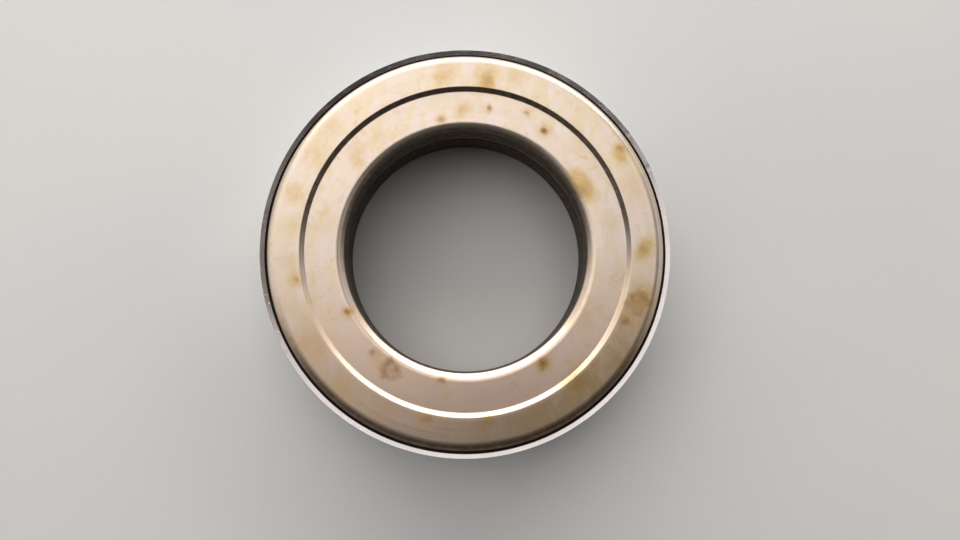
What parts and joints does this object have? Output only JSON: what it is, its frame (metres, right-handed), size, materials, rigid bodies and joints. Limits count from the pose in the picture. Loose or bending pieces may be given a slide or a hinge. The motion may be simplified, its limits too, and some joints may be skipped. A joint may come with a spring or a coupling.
{
  "type": "thrust ball bearing",
  "caption": "Thrust ball bearing: a stepped, turning top race rides on a caged row of balls over a standing race seated in a sheet-metal cover.",
  "frame": {"origin": "centre of the base, on the bearing's axis, in the plane of the cover's underside", "axes": "+Z along the bearing's axis, from the cover's base to the turning race's stepped face; +X through the first ball"},
  "size_m": [0.076, 0.076, 0.0209],
  "materials": {
    "race_steel": "ground bearing steel with a warm tint, light oil stains and fine concentric grinding marks",
    "cover_steel": "pressed sheet steel with a dull plated surface",
    "cage_steel": "pressed sheet steel, oiled",
    "ball_steel": "polished hardened steel"
  },
  "bodies": {
    "housing": {"cover": "cover_steel", "lower_race": "race_steel"},
    "top_race": {"top_race": "race_steel"},
    "cage": {"cage": "cage_steel"},
    "ball_01": {"ball_01": "ball_steel"},
    "ball_02": {"ball_02": "ball_steel"},
    "ball_03": {"ball_03": "ball_steel"},
    "ball_04": {"ball_04": "ball_steel"},
    "ball_05": {"ball_05": "ball_steel"},
    "ball_06": {"ball_06": "ball_steel"},
    "ball_07": {"ball_07": "ball_steel"},
    "ball_08": {"ball_08": "ball_steel"},
    "ball_09": {"ball_09": "ball_steel"},
    "ball_10": {"ball_10": "ball_steel"},
    "ball_11": {"ball_11": "ball_steel"},
    "ball_12": {"ball_12": "ball_steel"},
    "ball_13": {"ball_13": "ball_steel"},
    "ball_14": {"ball_14": "ball_steel"},
    "ball_15": {"ball_15": "ball_steel"},
    "ball_16": {"ball_16": "ball_steel"}
  },
  "joints": [
    {"name": "top_race_spin", "type": "hinge", "parent": "housing", "child": "top_race", "pos_m": [0, 0, 0.0109], "axis": [0, 0, 1], "continuous": true},
    {"name": "cage_spin", "type": "hinge", "parent": "housing", "child": "cage", "pos_m": [0, 0, 0.0109], "axis": [0, 0, 1], "continuous": true},
    {"name": "ball_01_spin", "type": "hinge", "parent": "cage", "child": "ball_01", "pos_m": [0.0295, 0, 0.0109], "axis": [1, 0, 0], "continuous": true},
    {"name": "ball_02_spin", "type": "hinge", "parent": "cage", "child": "ball_02", "pos_m": [0.02725, 0.01129, 0.0109], "axis": [0.9239, 0.3827, 0], "continuous": true},
    {"name": "ball_03_spin", "type": "hinge", "parent": "cage", "child": "ball_03", "pos_m": [0.02086, 0.02086, 0.0109], "axis": [0.7071, 0.7071, 0], "continuous": true},
    {"name": "ball_04_spin", "type": "hinge", "parent": "cage", "child": "ball_04", "pos_m": [0.01129, 0.02725, 0.0109], "axis": [0.3827, 0.9239, 0], "continuous": true},
    {"name": "ball_05_spin", "type": "hinge", "parent": "cage", "child": "ball_05", "pos_m": [0, 0.0295, 0.0109], "axis": [0, 1, 0], "continuous": true},
    {"name": "ball_06_spin", "type": "hinge", "parent": "cage", "child": "ball_06", "pos_m": [-0.01129, 0.02725, 0.0109], "axis": [-0.3827, 0.9239, 0], "continuous": true},
    {"name": "ball_07_spin", "type": "hinge", "parent": "cage", "child": "ball_07", "pos_m": [-0.02086, 0.02086, 0.0109], "axis": [-0.7071, 0.7071, 0], "continuous": true},
    {"name": "ball_08_spin", "type": "hinge", "parent": "cage", "child": "ball_08", "pos_m": [-0.02725, 0.01129, 0.0109], "axis": [-0.9239, 0.3827, 0], "continuous": true},
    {"name": "ball_09_spin", "type": "hinge", "parent": "cage", "child": "ball_09", "pos_m": [-0.0295, 0, 0.0109], "axis": [-1, 0, 0], "continuous": true},
    {"name": "ball_10_spin", "type": "hinge", "parent": "cage", "child": "ball_10", "pos_m": [-0.02725, -0.01129, 0.0109], "axis": [-0.9239, -0.3827, 0], "continuous": true},
    {"name": "ball_11_spin", "type": "hinge", "parent": "cage", "child": "ball_11", "pos_m": [-0.02086, -0.02086, 0.0109], "axis": [-0.7071, -0.7071, 0], "continuous": true},
    {"name": "ball_12_spin", "type": "hinge", "parent": "cage", "child": "ball_12", "pos_m": [-0.01129, -0.02725, 0.0109], "axis": [-0.3827, -0.9239, 0], "continuous": true},
    {"name": "ball_13_spin", "type": "hinge", "parent": "cage", "child": "ball_13", "pos_m": [0, -0.0295, 0.0109], "axis": [0, -1, 0], "continuous": true},
    {"name": "ball_14_spin", "type": "hinge", "parent": "cage", "child": "ball_14", "pos_m": [0.01129, -0.02725, 0.0109], "axis": [0.3827, -0.9239, 0], "continuous": true},
    {"name": "ball_15_spin", "type": "hinge", "parent": "cage", "child": "ball_15", "pos_m": [0.02086, -0.02086, 0.0109], "axis": [0.7071, -0.7071, 0], "continuous": true},
    {"name": "ball_16_spin", "type": "hinge", "parent": "cage", "child": "ball_16", "pos_m": [0.02725, -0.01129, 0.0109], "axis": [0.9239, -0.3827, 0], "continuous": true}
  ],
  "couplings": [
    {"joint": "cage_spin", "follows": "top_race_spin", "ratio": 0.5},
    {"joint": "ball_01_spin", "follows": "top_race_spin", "ratio": -3.0971},
    {"joint": "ball_02_spin", "follows": "top_race_spin", "ratio": -3.0971},
    {"joint": "ball_03_spin", "follows": "top_race_spin", "ratio": -3.0971},
    {"joint": "ball_04_spin", "follows": "top_race_spin", "ratio": -3.0971},
    {"joint": "ball_05_spin", "follows": "top_race_spin", "ratio": -3.0971},
    {"joint": "ball_06_spin", "follows": "top_race_spin", "ratio": -3.0971},
    {"joint": "ball_07_spin", "follows": "top_race_spin", "ratio": -3.0971},
    {"joint": "ball_08_spin", "follows": "top_race_spin", "ratio": -3.0971},
    {"joint": "ball_09_spin", "follows": "top_race_spin", "ratio": -3.0971},
    {"joint": "ball_10_spin", "follows": "top_race_spin", "ratio": -3.0971},
    {"joint": "ball_11_spin", "follows": "top_race_spin", "ratio": -3.0971},
    {"joint": "ball_12_spin", "follows": "top_race_spin", "ratio": -3.0971},
    {"joint": "ball_13_spin", "follows": "top_race_spin", "ratio": -3.0971},
    {"joint": "ball_14_spin", "follows": "top_race_spin", "ratio": -3.0971},
    {"joint": "ball_15_spin", "follows": "top_race_spin", "ratio": -3.0971},
    {"joint": "ball_16_spin", "follows": "top_race_spin", "ratio": -3.0971}
  ]
}
